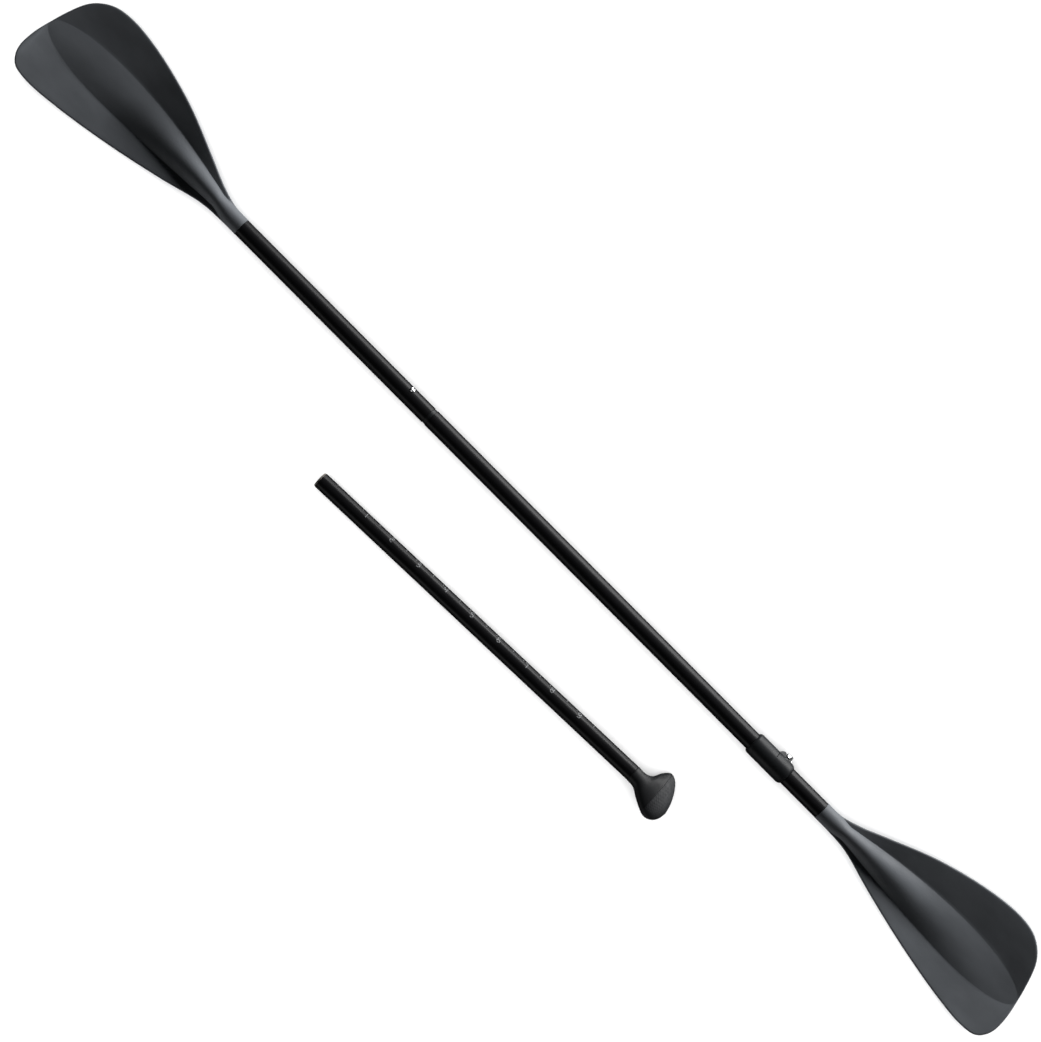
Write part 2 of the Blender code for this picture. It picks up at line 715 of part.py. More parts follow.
def palm_grip(section):
    sides = 24
    roll = (GRIP_ROLL, 0, 0)
    bm = bmesh.new()
    neck = [GRIP_TUBE_END + GAP + (PAD_START - GAP - GRIP_TUBE_END) * i / 10 for i in range(11)]
    rings = [grip_ring(s, 0.0, sides) for s in neck]
    inner_end = GRIP_END - PAD_THICKNESS - 0.0006
    step_in = PAD_THICKNESS + GAP
    rings += [grip_ring(s, step_in, sides) for s in eased(PAD_START, inner_end, 7)[:-1]]
    made = skin(bm, rings)
    bm.faces.new(made[-1])
    bm.faces.new(made[0][::-1])
    grip = add_object("palm_grip", bm, SOFT_PLASTIC, section, (0, 0, 0), roll)
    spigot = [
        (GRIP_TUBE_END - 0.045, 0),
        (GRIP_TUBE_END - 0.045, SMALL_SPIGOT_RADIUS - 0.001),
        (GRIP_TUBE_END - 0.044, SMALL_SPIGOT_RADIUS),
        (GRIP_TUBE_END + 0.004, SMALL_SPIGOT_RADIUS),
        (GRIP_TUBE_END + 0.004, 0),
    ]
    boolean(grip, add_object("grip_spigot", turned(spigot), None, section), "UNION")

    bm = bmesh.new()
    outer = [grip_ring(s, 0.0, sides) for s in eased(PAD_START + GAP, GRIP_END - 0.0002, 9)]
    inner = [grip_ring(s, PAD_THICKNESS, sides) for s in eased(PAD_START + GAP, inner_end + 0.0004, 7)[:-1]]
    outside = skin(bm, outer)
    inside = skin(bm, inner)
    bm.faces.new(outside[-1])
    bm.faces.new(inside[-1][::-1])
    for i in range(sides):
        j = (i + 1) % sides
        bm.faces.new((outside[0][i], outside[0][j], inside[0][j], inside[0][i]))
    add_object("palm_pad", bm, SOFT_PLASTIC, section, (0, 0, 0), roll)


def grip_section():
    lift = SLEEVE_RADIUS - GRIP_TUBE_START * math.tan(GRIP_SECTION_TILT)
    place = (GRIP_SECTION_AT[0], GRIP_SECTION_AT[1] + SHAFT_Y, lift)
    section = empty("grip_section", place, (0, -GRIP_SECTION_TILT, GRIP_SECTION_TURN))
    add_object(
        "grip_tube", turned(tube_profile(GRIP_TUBE_START, GRIP_TUBE_END, SLEEVE_RADIUS, SLEEVE_BORE)),
        BLACK_TUBE, section,
    )
    start = GRIP_TUBE_START
    plug = [
        (start - 0.0030, 0),
        (start - 0.0030, 0.0118),
        (start - 0.0022, 0.0130),
        (start - GAP, 0.0134),
        (start - GAP, SMALL_SPIGOT_RADIUS),
        (start + 0.0190, SMALL_SPIGOT_RADIUS),
        (start + 0.0200, SMALL_SPIGOT_RADIUS - 0.001),
        (start + 0.0200, 0),
    ]
    add_object("grip_tube_plug", turned(plug), GREY_PLASTIC, section)
    foam_plug("foam_plug_grip", -0.060, 0.060, SLEEVE_BORE, section)
    palm_grip(section)


def main():
    clear_scene()
    shaft = empty("shaft_axis", (0, SHAFT_Y, SHAFT_HEIGHT))
    neck_a = empty("blade_a_neck", (NECK_A, 0, 0), (0, 0, 0), shaft)
    shape = BladeShape(HALF_LENGTH + NECK_A, RIDGE_DRIFT_A, 0.0)
    blade("blade_a", shape, True, [(-0.0500, SPIGOT_RADIUS)], neck_a)
    main_tube = shaft_tubes(shaft)
    seam(shaft)
    ears = ear_frame(shaft)
    slot = box((COLLAR_END - 0.0335, 0.010, -0.0015), (COLLAR_END + 0.01, 0.040, 0.0015))
    boolean(main_tube, add_object("tube_slot", slot, None, ears))
    clamp_collar(shaft, ears)
    clamp_screw(ears)
    thrust_plate(ears)
    barrel_nut(ears)
    cam_lever(shaft)
    blade_b_section(shaft)
    grip_section()


main()
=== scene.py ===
import json
import math

import bmesh
import bpy
from mathutils import Matrix, Vector

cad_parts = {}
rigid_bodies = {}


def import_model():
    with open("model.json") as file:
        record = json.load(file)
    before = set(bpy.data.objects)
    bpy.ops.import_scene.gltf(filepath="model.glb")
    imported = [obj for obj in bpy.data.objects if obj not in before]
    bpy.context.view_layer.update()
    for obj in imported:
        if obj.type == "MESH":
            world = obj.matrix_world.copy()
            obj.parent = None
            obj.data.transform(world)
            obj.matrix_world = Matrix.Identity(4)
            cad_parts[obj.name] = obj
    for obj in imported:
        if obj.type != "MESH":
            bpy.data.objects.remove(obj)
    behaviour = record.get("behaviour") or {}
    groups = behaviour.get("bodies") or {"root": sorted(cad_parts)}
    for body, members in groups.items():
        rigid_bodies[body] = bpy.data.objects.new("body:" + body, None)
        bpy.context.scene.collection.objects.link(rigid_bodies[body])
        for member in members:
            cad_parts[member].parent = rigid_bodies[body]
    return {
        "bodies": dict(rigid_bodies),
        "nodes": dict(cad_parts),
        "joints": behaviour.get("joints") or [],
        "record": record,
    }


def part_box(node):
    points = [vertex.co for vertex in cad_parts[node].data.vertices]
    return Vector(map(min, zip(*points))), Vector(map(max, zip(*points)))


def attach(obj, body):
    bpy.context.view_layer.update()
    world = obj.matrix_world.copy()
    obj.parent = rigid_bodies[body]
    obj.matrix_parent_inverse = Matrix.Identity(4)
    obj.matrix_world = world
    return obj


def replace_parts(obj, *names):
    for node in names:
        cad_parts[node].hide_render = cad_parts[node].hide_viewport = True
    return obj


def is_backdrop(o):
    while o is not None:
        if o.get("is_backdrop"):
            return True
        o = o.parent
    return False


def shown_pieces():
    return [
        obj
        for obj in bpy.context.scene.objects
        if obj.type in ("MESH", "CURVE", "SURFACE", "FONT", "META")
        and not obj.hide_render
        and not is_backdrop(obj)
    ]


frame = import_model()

for spare in list(bpy.data.objects):
    if spare not in frame["nodes"].values() and spare not in frame["bodies"].values():
        bpy.data.objects.remove(spare, do_unlink=True)
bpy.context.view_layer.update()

NODES = frame["nodes"]
JOINTS = {joint["name"]: joint for joint in frame["joints"]}

# The shaft's axis, and the ends of the two blades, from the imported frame.
SHAFT = Vector((0.0, *JOINTS["blade_feather"]["pos_m"][1:]))
TIP_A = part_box("blade_a")[0].x
TIP_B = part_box("blade_b")[1].x
SEAT_GAP = 0.0003
NECK_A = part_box("tube_a")[0].x - SEAT_GAP
NECK_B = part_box("tube_b")[1].x + SEAT_GAP


# ---------------------------------------------------------------- materials

class Finish:
    """A procedural material, built round one Principled shader. Lengths are in metres, on the object."""

    def __init__(self, name, colour, roughness, metallic=0.0):
        self.material = bpy.data.materials.new(name)
        self.material.use_nodes = True
        self.nodes = self.material.node_tree.nodes
        self.links = self.material.node_tree.links
        self.shader = self.nodes["Principled BSDF"]
        self.shader.inputs["Metallic"].default_value = metallic
        self.place = self.nodes.new("ShaderNodeTexCoord").outputs["Object"]
        self.colour = colour
        self.roughness = roughness
        self.height = None

    def fixed(self, **values):
        """Sets numbers that are the same all over the surface on the shader's own sockets."""
        for name, value in values.items():
            self.shader.inputs[name.replace("_", " ")].default_value = value
        return self

    def noise(self, size, stretch=(1, 1, 1), detail=3.0, contrast=(0.35, 0.65)):
        """Noise with features about size across, spread from 0 to 1 between the contrast limits."""
        mapping = self.nodes.new("ShaderNodeMapping")
        mapping.inputs["Scale"].default_value = [1 / (size * s) for s in stretch]
        self.links.new(self.place, mapping.inputs["Vector"])
        texture = self.nodes.new("ShaderNodeTexNoise")
        texture.inputs["Scale"].default_value = 1.0
        texture.inputs["Detail"].default_value = detail
        self.links.new(mapping.outputs["Vector"], texture.inputs["Vector"])
        spread = self.nodes.new("ShaderNodeMapRange")
        spread.inputs["From Min"].default_value = contrast[0]
        spread.inputs["From Max"].default_value = contrast[1]
        self.links.new(texture.outputs["Fac"], spread.inputs["Value"])
        return spread.outputs["Result"]

    def cells(self, size, randomness=0.0):
        """Distance from the nearest of a grid of points, as a share of the grid's pitch."""
        mapping = self.nodes.new("ShaderNodeMapping")
        mapping.inputs["Scale"].default_value = [1 / size] * 3
        self.links.new(self.place, mapping.inputs["Vector"])
        texture = self.nodes.new("ShaderNodeTexVoronoi")
        texture.inputs["Scale"].default_value = 1.0
        texture.inputs["Randomness"].default_value = randomness
        self.links.new(mapping.outputs["Vector"], texture.inputs["Vector"])
        return texture.outputs["Distance"]

    def mixed_colour(self, factor, other):
        mix = self.nodes.new("ShaderNodeMix")
        mix.data_type = "RGBA"
        if isinstance(self.colour, tuple):
            mix.inputs["A"].default_value = (*self.colour, 1.0)
        else:
            self.links.new(self.colour, mix.inputs["A"])
        mix.inputs["B"].default_value = (*other, 1.0)
        self.links.new(factor, mix.inputs["Factor"])
        self.colour = mix.outputs["Result"]
        return self

    def varied_roughness(self, factor, low, high):
        spread = self.nodes.new("ShaderNodeMapRange")
        spread.inputs["To Min"].default_value = low
        spread.inputs["To Max"].default_value = high
        self.links.new(factor, spread.inputs["Value"])
        self.roughness = spread.outputs["Result"]
        return self

    def bumped(self, factor, depth, strength=1.0):
        bump = self.nodes.new("ShaderNodeBump")
        bump.inputs["Distance"].default_value = depth
        bump.inputs["Strength"].default_value = strength
        self.links.new(factor, bump.inputs["Height"])
        if self.height is not None:
            self.links.new(self.height, bump.inputs["Normal"])
        self.height = bump.outputs["Normal"]
        return self

    def done(self):
        if isinstance(self.colour, tuple):
            self.shader.inputs["Base Color"].default_value = (*self.colour, 1.0)
        else:
            self.links.new(self.colour, self.shader.inputs["Base Color"])
        if isinstance(self.roughness, float):
            self.shader.inputs["Roughness"].default_value = self.roughness
        else:
            self.links.new(self.roughness, self.shader.inputs["Roughness"])
        if self.height is not None:
            self.links.new(self.height, self.shader.inputs["Normal"])
        return self.material


def moulded_plastic(name, colour, roughness, gloss, grain=0.0009):
    """Satin moulded plastic: a fine spark-eroded grain, faint flow marks and uneven sheen."""
    finish = Finish(name, colour, roughness)
    lighter = tuple(c * 1.35 for c in colour)
    finish.mixed_colour(finish.noise(0.060, stretch=(2.5, 1, 1)), lighter)
    finish.varied_roughness(finish.noise(0.022), roughness - 0.05, roughness + 0.05)
    finish.bumped(finish.noise(0.030, detail=2.0), 0.00010, 0.5)
    finish.bumped(finish.noise(grain, detail=2.0), 0.00004, 0.9)
    return finish.fixed(Specular_IOR_Level=gloss).done()


def anodised_tube(name):
    """Black anodised drawn tube, with fine draw lines along its length."""
    finish = Finish(name, (0.0050, 0.0050, 0.0056), 0.30)
    finish.mixed_colour(finish.noise(0.0012, stretch=(60, 1, 1)), (0.0075, 0.0075, 0.0082))
    finish.varied_roughness(finish.noise(0.0016, stretch=(40, 1, 1)), 0.27, 0.36)
    finish.bumped(finish.noise(0.0010, stretch=(80, 1, 1), detail=2.0), 0.00002, 0.6)
    return finish.fixed(Specular_IOR_Level=0.08).done()


def polished_steel(name, colour=(0.62, 0.63, 0.64), roughness=0.22):
    """Drawn or polished steel, with fine scratches across its length."""
    finish = Finish(name, colour, roughness, metallic=1.0)
    darker = tuple(c * 0.8 for c in colour)
    finish.mixed_colour(finish.noise(0.0040), darker)
    finish.varied_roughness(finish.noise(0.0008, stretch=(1, 6, 1)), roughness - 0.06, roughness + 0.10)
    finish.bumped(finish.noise(0.0005, stretch=(1, 8, 1)), 0.00001, 0.6)
    return finish.done()


def rubber(name):
    """Matt black rubber, slightly uneven in colour and sheen."""
    finish = Finish(name, (0.0130, 0.0137, 0.0150), 0.55)
    finish.mixed_colour(finish.noise(0.012), (0.0165, 0.0173, 0.0190))
    finish.varied_roughness(finish.noise(0.006), 0.55, 0.70)
    finish.bumped(finish.noise(0.0007), 0.00004, 0.8)
    return finish.fixed(Specular_IOR_Level=0.20).done()


def foam(name):
    """Pale closed-cell foam with darker cell walls."""
    finish = Finish(name, (0.55, 0.55, 0.52), 0.90)
    finish.mixed_colour(finish.cells(0.0016, randomness=1.0), (0.36, 0.36, 0.34))
    finish.bumped(finish.cells(0.0012, randomness=1.0), 0.0003, 0.8)
    return finish.done()


def printed_ink(name):
    """Pale screen-printed ink, patchy where it has worn."""
    finish = Finish(name, (0.115, 0.120, 0.125), 0.50)
    finish.mixed_colour(finish.noise(0.0012, contrast=(0.30, 0.55)), (0.085, 0.090, 0.095))
    finish.bumped(finish.noise(0.0006), 0.00002, 0.6)
    return finish.done()


BLADE_PLASTIC = moulded_plastic("blade_nylon", (0.068, 0.073, 0.080), 0.55, 0.14)
CLAMP_PLASTIC = moulded_plastic("clamp_nylon", (0.0085, 0.0092, 0.0100), 0.40, 0.10)
GRIP_PLASTIC = moulded_plastic("grip_nylon", (0.0095, 0.0098, 0.0104), 0.40, 0.10)
PLUG_PLASTIC = moulded_plastic("plug_plastic", (0.110, 0.098, 0.088), 0.50, 0.30)
TUBE_METAL = anodised_tube("anodised_tube")
STEEL = polished_steel("polished_steel")
SPRING_STEEL = polished_steel("spring_steel", (0.45, 0.45, 0.46), 0.30)
RUBBER = rubber("grip_rubber")
FOAM = foam("closed_cell_foam")
INK = printed_ink("pale_ink")

NODE_FINISH = {
    "clamp_collar": CLAMP_PLASTIC,
    "cam_lever": CLAMP_PLASTIC,
    "seam_ferrule": CLAMP_PLASTIC,
    "tube_a": TUBE_METAL,
    "main_tube": TUBE_METAL,
    "tube_b": TUBE_METAL,
    "inner_sleeve": TUBE_METAL,
    "grip_tube": TUBE_METAL,
    "snap_button": STEEL,
    "clamp_screw": STEEL,
    "screw_washer": STEEL,
    "thrust_plate": STEEL,
    "barrel_nut": STEEL,
    "button_spring": SPRING_STEEL,
    "sleeve_plug": PLUG_PLASTIC,
    "grip_tube_plug": PLUG_PLASTIC,
    "foam_plug_a": FOAM,
    "foam_plug_main": FOAM,
    "foam_plug_b": FOAM,
    "foam_plug_grip": FOAM,
    "blade_a": BLADE_PLASTIC,
    "blade_b": BLADE_PLASTIC,
    "palm_grip": GRIP_PLASTIC,
    "palm_pad": RUBBER,
}


# ---------------------------------------------------------------- surfaces of the kept nodes

SMOOTH_UP_TO = math.radians(32)
WELD_DISTANCE = 0.000002


def smooth_group():
    """Geometry nodes that shade a node smooth up to an angle."""
    group = bpy.data.node_groups.new("smooth_by_angle", "GeometryNodeTree")
    group.interface.new_socket("Geometry", in_out="INPUT", socket_type="NodeSocketGeometry")
    group.interface.new_socket("Geometry", in_out="OUTPUT", socket_type="NodeSocketGeometry")
    start = group.nodes.new("NodeGroupInput")
    end = group.nodes.new("NodeGroupOutput")
    angle = group.nodes.new("GeometryNodeInputMeshEdgeAngle")
    sharp = group.nodes.new("FunctionNodeCompare")
    sharp.data_type = "FLOAT"
    sharp.operation = "GREATER_THAN"
    sharp.inputs["B"].default_value = SMOOTH_UP_TO
    normals = group.nodes.new("GeometryNodeSetMeshNormal")
    normals.mode = "SHARPNESS"
    normals.inputs["Remove Custom"].default_value = True
    normals.inputs["Face Sharpness"].default_value = False
    group.links.new(start.outputs[0], normals.inputs["Mesh"])
    group.links.new(angle.outputs["Unsigned Angle"], sharp.inputs["A"])
    group.links.new(sharp.outputs["Result"], normals.inputs["Edge Sharpness"])
    group.links.new(normals.outputs["Mesh"], end.inputs[0])
    return group


SMOOTH = smooth_group()
EDGE_ROUNDING = {
    "clamp_collar": 0.0004,
    "cam_lever": 0.0006,
    "clamp_screw": 0.0002,
    "thrust_plate": 0.0002,
    "grip_tube_plug": 0.0004,
}


def finish_node(name):
    """Gives a kept node its material, rounded edges and smooth shading. Its mesh stays as packed."""
    node = NODES[name]
    if not node.material_slots:
        node.data.materials.append(None)
    for slot in node.material_slots:
        slot.material = NODE_FINISH[name]
    weld = node.modifiers.new("weld", "WELD")
    weld.merge_threshold = WELD_DISTANCE
    if name in EDGE_ROUNDING:
        bevel = node.modifiers.new("rounded_edges", "BEVEL")
        bevel.limit_method = "ANGLE"
        bevel.angle_limit = SMOOTH_UP_TO
        bevel.width = EDGE_ROUNDING[name]
        bevel.segments = 2
    shading = node.modifiers.new("smooth_by_angle", "NODES")
    shading.node_group = SMOOTH


# ---------------------------------------------------------------- small mesh helpers

def smoothstep(value):
    value = min(max(value, 0.0), 1.0)
    return value * value * (3 - 2 * value)


def spline(points, per_span):
    """A centripetal Catmull-Rom curve through the points, as a list of tuples."""
    pts = [Vector(p) for p in points]
    pts = [2 * pts[0] - pts[1]] + pts + [2 * pts[-1] - pts[-2]]
    curve = []
    for i in range(1, len(pts) - 2):
        p0, p1, p2, p3 = pts[i - 1:i + 3]
        t1 = (p1 - p0).length ** 0.5
        t2 = t1 + (p2 - p1).length ** 0.5
        t3 = t2 + (p3 - p2).length ** 0.5
        for step in range(per_span):
            t = t1 + (t2 - t1) * step / per_span
            a1 = p0 * ((t1 - t) / t1) + p1 * (t / t1)
            a2 = p1 * ((t2 - t) / (t2 - t1)) + p2 * ((t - t1) / (t2 - t1))
            a3 = p2 * ((t3 - t) / (t3 - t2)) + p3 * ((t - t2) / (t3 - t2))
            b1 = a1 * ((t2 - t) / t2) + a2 * (t / t2)
            b2 = a2 * ((t3 - t) / (t3 - t1)) + a3 * ((t - t1) / (t3 - t1))
            curve.append(tuple(b1 * ((t2 - t) / (t2 - t1)) + b2 * ((t - t1) / (t2 - t1))))
    curve.append(tuple(pts[-2]))
    return curve


def lookup(curve, value):
    """The second coordinate of a curve of (key, value) points, at a key."""
    for (k0, v0), (k1, v1) in zip(curve, curve[1:]):
        if k0 <= value <= k1:
            return v0 + (v1 - v0) * (value - k0) / (k1 - k0)
    return curve[0][1] if value < curve[0][0] else curve[-1][1]


def piece(name, bm, finish, body, sharp_deg=40.0):
    """Makes an object of a mesh, shades it smooth up to an angle and lets it ride on a body."""
    bmesh.ops.recalc_face_normals(bm, faces=bm.faces)
    mesh = bpy.data.meshes.new(name)
    bm.to_mesh(mesh)
    bm.free()
    mesh.materials.append(finish)
    mesh.shade_smooth()
    mesh.set_sharp_from_angle(angle=math.radians(sharp_deg))
    made = bpy.data.objects.new(name, mesh)
    bpy.context.scene.collection.objects.link(made)
    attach(made, body)
    return made


# ---------------------------------------------------------------- blades

NECK_RADIUS = 0.0152
BLADE_DIP = 0.0238
BLADE_TIP_LIFT = 0.0170
WING_TILT = 0.17
WEB_HALF = 0.0020
RIM_RADIUS = 0.0032
RIDGE_DRIFT = {"blade_a": 0.0140, "blade_b": 0.0090}
BLADE_SWEEP = {"blade_a": 0.0, "blade_b": -0.0055}
RIDGE_HALF = 0.0327
RIDGE_WAIST = 0.0122
FAN_CENTRE = 0.085
# (distance from the tip, offset from the shaft axis), round the tip from the long edge to the wide one.
BLADE_OUTLINE = [
    (0.445, -0.0152), (0.415, -0.0153), (0.375, -0.0178), (0.300, -0.0362), (0.200, -0.0574),
    (0.100, -0.0730), (0.045, -0.0765), (0.017, -0.0705), (0.003, -0.0500), (0.0015, -0.0150),
    (0.014, 0.0388), (0.033, 0.0800), (0.060, 0.1010), (0.092, 0.1077), (0.150, 0.1030),
    (0.250, 0.0783), (0.340, 0.0430), (0.380, 0.0265), (0.415, 0.0163), (0.445, 0.0152),
]
SIDE_STATIONS = 96
FAN_RAYS = 72
RIM_STEPS = 7
WING_STEPS = 12
RIDGE_STEPS = 18


def ridge_half_width(u):
    """From the neck, the ridge narrows to a waist, widens to RIDGE_HALF and ends in a round nose."""
    waist_at = 0.12
    widest_at = 0.70
    nose_at = 0.985
    if u > widest_at:
        return RIDGE_HALF * math.sqrt(max(0.0, 1 - ((u - widest_at) / (nose_at - widest_at)) ** 2))
    neck = NECK_RADIUS + (RIDGE_WAIST - NECK_RADIUS) * smoothstep((u - 0.04) / 0.10)
    growth = math.sin(math.pi / 2 * min(max((u - waist_at) / (widest_at - waist_at), 0.0), 1.0))
    return neck + (RIDGE_HALF - RIDGE_WAIST) * growth


class BladeShape:
    """The surface of one blade. x runs from the neck, y from the shaft axis, u from neck 0 to tip 1."""

    def __init__(self, length, drift, sweep):
        self.length = length
        self.drift = drift
        self.sweep = sweep

    def swept(self, u):
        return self.sweep * max(u, 0.0) ** 1.5

    def ridge_centre(self, x):
        u = x / self.length
        drift = self.drift * math.sin(math.pi / 2 * min(u / 0.65, 1.0)) * smoothstep(u / 0.16)
        return drift + self.swept(u)

    def beyond_ridge(self, x, y):
        return abs(y - self.ridge_centre(x)) - ridge_half_width(x / self.length)

    def heights(self, x, y, inset):
        """The top and bottom at a point that lies inset from the rim."""
        u = x / self.length
        off = y - self.ridge_centre(x)
        half = ridge_half_width(u)
        dip = -BLADE_DIP * smoothstep((u - 0.06) / 0.56)
        lift = BLADE_TIP_LIFT * max(0.0, (u - 0.55) / 0.45) ** 2
        wing = WING_TILT * smoothstep((u - 0.05) / 0.30) * max(0.0, abs(off) - half)
        rim = math.sqrt(max(0.0, 1 - (1 - min(inset / RIM_RADIUS, 1.0)) ** 2))
        web = WEB_HALF * smoothstep((u - 0.02) / 0.12) * rim
        power = 0.5 + 0.60 * smoothstep((u - 0.04) / 0.25)
        across = max(0.0, 1 - (off / max(half, 0.001)) ** 2) ** power
        below = max(0.0, 1 - (off / max(half, NECK_RADIUS)) ** 2) ** power
        ridge = (NECK_RADIUS - web) * (1 - smoothstep((u - 0.06) / 0.98)) ** 1.1 * across
        belly = NECK_RADIUS * (1 - smoothstep((u - 0.04) / 0.55)) ** 1.3 * below
        middle = dip + lift + wing
        return middle + web + ridge, middle - math.hypot(belly, web)


def crease_distance(shape, start, direction, reach):
    """The distance along a ray from start at which it crosses the ridge's crease."""
    low = 0.0
    high = reach
    for _ in range(30):
        half_way = (low + high) / 2
        spot = start + direction * half_way
        if shape.beyond_ridge(spot.x, spot.y) < 0:
            low = half_way
        else:
            high = half_way
    return low


def blade_rays(shape):
    """Rows from the ridge's centre line out to the rim, and a fan of them round the tip."""
    length = shape.length
    full = BLADE_OUTLINE[0][0]
    outline = [(length * (1 - d / full), y) for d, y in spline(BLADE_OUTLINE, 40)]
    outline = [(x, y + shape.swept(x / length)) for x, y in outline]
    turn = max(range(len(outline)), key=lambda i: outline[i][0])
    low_edge = outline[:turn + 1]
    high_edge = outline[turn:][::-1]
    centre = Vector((length - FAN_CENTRE, shape.ridge_centre(length - FAN_CENTRE)))
    stations = [centre.x * (i / SIDE_STATIONS) ** 1.1 for i in range(SIDE_STATIONS + 1)]
    low_side = [(Vector((x, shape.ridge_centre(x))), Vector((x, lookup(low_edge, x)))) for x in stations]
    high_side = [(Vector((x, shape.ridge_centre(x))), Vector((x, lookup(high_edge, x)))) for x in stations]
    around = sorted((math.atan2(y - centre.y, x - centre.x), math.hypot(x - centre.x, y - centre.y))
                    for x, y in outline if x > centre.x - 0.01)
    fan = []
    for i in range(1, FAN_RAYS):
        angle = -math.pi / 2 + math.pi * i / FAN_RAYS
        direction = Vector((math.cos(angle), math.sin(angle)))
        fan.append((centre, centre + lookup(around, angle) * direction))
    return low_side + fan + high_side[::-1]


def ray_distances(reach, crease):
    """Where a ray's points lie, from the rim inwards: close together at the round rim and the crease."""
    rim = [RIM_RADIUS * (1 - math.cos(math.pi / 2 * i / RIM_STEPS)) for i in range(RIM_STEPS + 1)]
    web_end = reach - rim[-1]
    crease = min(crease, web_end - 0.0005)
    distances = [reach - inset for inset in rim]
    distances += [web_end + (crease - web_end) * i / WING_STEPS for i in range(1, WING_STEPS + 1)]
    distances += [crease * math.cos(math.pi / 2 * i / RIDGE_STEPS) for i in range(1, RIDGE_STEPS + 1)]
    return distances


def blade(node, neck, tip, body):
    """A finer blade of the same form as its CAD node, which it stands for."""
    shape = BladeShape(abs(tip - neck), RIDGE_DRIFT[node], BLADE_SWEEP[node])
    side = math.copysign(1.0, tip - neck)
    bm = bmesh.new()
    columns = []
    for inner, rim_point in blade_rays(shape):
        reach = (rim_point - inner).length
        direction = (rim_point - inner) / reach
        column = []
        for distance in ray_distances(reach, crease_distance(shape, inner, direction, reach)):
            spot = inner + direction * max(distance, 0.0)
            ends = []
            for height in shape.heights(spot.x, spot.y, reach - distance):
                ends.append(bm.verts.new((neck + side * spot.x, SHAFT.y + spot.y, SHAFT.z + height)))
            column.append(ends)
        columns.append(column)
    for a, b in zip(columns, columns[1:]):
        for k in range(len(a) - 1):
            bm.faces.new((a[k][0], a[k + 1][0], b[k + 1][0], b[k][0]))
            bm.faces.new((a[k][1], b[k][1], b[k + 1][1], a[k + 1][1]))
    bmesh.ops.remove_doubles(bm, verts=bm.verts, dist=1e-6)
    open_edges = [e for e in bm.edges if e.is_boundary]
    bmesh.ops.contextual_create(bm, geom=open_edges)
    bmesh.ops.dissolve_degenerate(bm, edges=bm.edges, dist=1e-6)
    made = piece(node + "_skin", bm, BLADE_PLASTIC, body, 60)
    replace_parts(made, node)
    return made


# ---------------------------------------------------------------- palm grip

# The section's own frame: x runs along its tube from the plugged end to the palm grip.
MOUNT = frame["record"]["mounts"][0]
SECTION_X = -Vector(MOUNT["axis"])
SECTION_Y = Vector((0, 0, 1)).cross(SECTION_X).normalized()
SECTION_Z = SECTION_X.cross(SECTION_Y)
PLUGGED_END = -0.3285
SECTION_ORIGIN = Vector(MOUNT["pos_m"]) - SECTION_X * PLUGGED_END
SECTION = Matrix.Translation(SECTION_ORIGIN) @ Matrix((SECTION_X, SECTION_Y, SECTION_Z)).transposed().to_4x4()
GRIP_ROLL = math.radians(-30)
GRIP_TUBE_RADIUS = 0.01365
GRIP_TUBE_END = 0.3380
PAD_START = 0.3860
PAD_THICKNESS = 0.0015
GRIP_END = 0.4177
# The grip's two edges and its half thickness, by distance along the section.
GRIP_HIGH = spline([
    (0.3380, 0.0136), (0.3540, 0.0132), (0.3640, 0.0182), (0.3730, 0.0345), (0.3840, 0.0448),
    (0.3950, 0.0405), (0.4060, 0.0250), (0.4140, 0.0052), (0.4177, -0.0130),
], 40)
GRIP_LOW = spline([
    (0.3380, -0.0136), (0.3520, -0.0153), (0.3660, -0.0255), (0.3800, -0.0350), (0.3940, -0.0412),
    (0.4060, -0.0378), (0.4140, -0.0280), (0.4177, -0.0130),
], 40)
GRIP_HALF_THICKNESS = spline([
    (0.3380, 0.0136), (0.3560, 0.0134), (0.3720, 0.0155), (0.3880, 0.0170), (0.4030, 0.0142),
    (0.4120, 0.0090), (0.4177, 0.0),
], 40)
GRIP_SIDES = 288
DOTS_ROUND = 48
DOT_ROWS = 11
STEPS_PER_DOT = 6
DOT_HEIGHT = 0.0003


def bowed(value):
    """Squares a cosine or sine up slightly, which makes an ellipse a little fuller."""
    return math.copysign(abs(value) ** 0.92, value)


def grip_ring(along, inset):
    """One ring of the grip's surface. inset is a depth, or a function of the place round the ring."""
    high = lookup(GRIP_HIGH, along)
    low = lookup(GRIP_LOW, along)
    thick = lookup(GRIP_HALF_THICKNESS, along)
    ring = []
    for i in range(GRIP_SIDES):
        angle = 2 * math.pi * i / GRIP_SIDES
        depth = inset(i / GRIP_SIDES) if callable(inset) else inset
        y = (high + low) / 2 + max((high - low) / 2 - depth, 0.0) * bowed(math.cos(angle))
        z = max(thick - depth, 0.0) * bowed(math.sin(angle))
        ring.append(Vector((along, y, z)))
    return ring


def loft(bm, rings):
    """Joins rings of equal count with faces, and closes both ends."""
    made = [[bm.verts.new(point) for point in ring] for ring in rings]
    for a, b in zip(made, made[1:]):
        for i in range(len(a)):
            j = (i + 1) % len(a)
            bm.faces.new((a[i], a[j], b[j], b[i]))
    bm.faces.new(made[0][::-1])
    bm.faces.new(made[-1])


def eased(start, end, steps):
    """Stations from start to end that crowd towards the end."""
    return [start + (end - start) * math.sin(math.pi / 2 * i / steps) for i in range(steps + 1)]


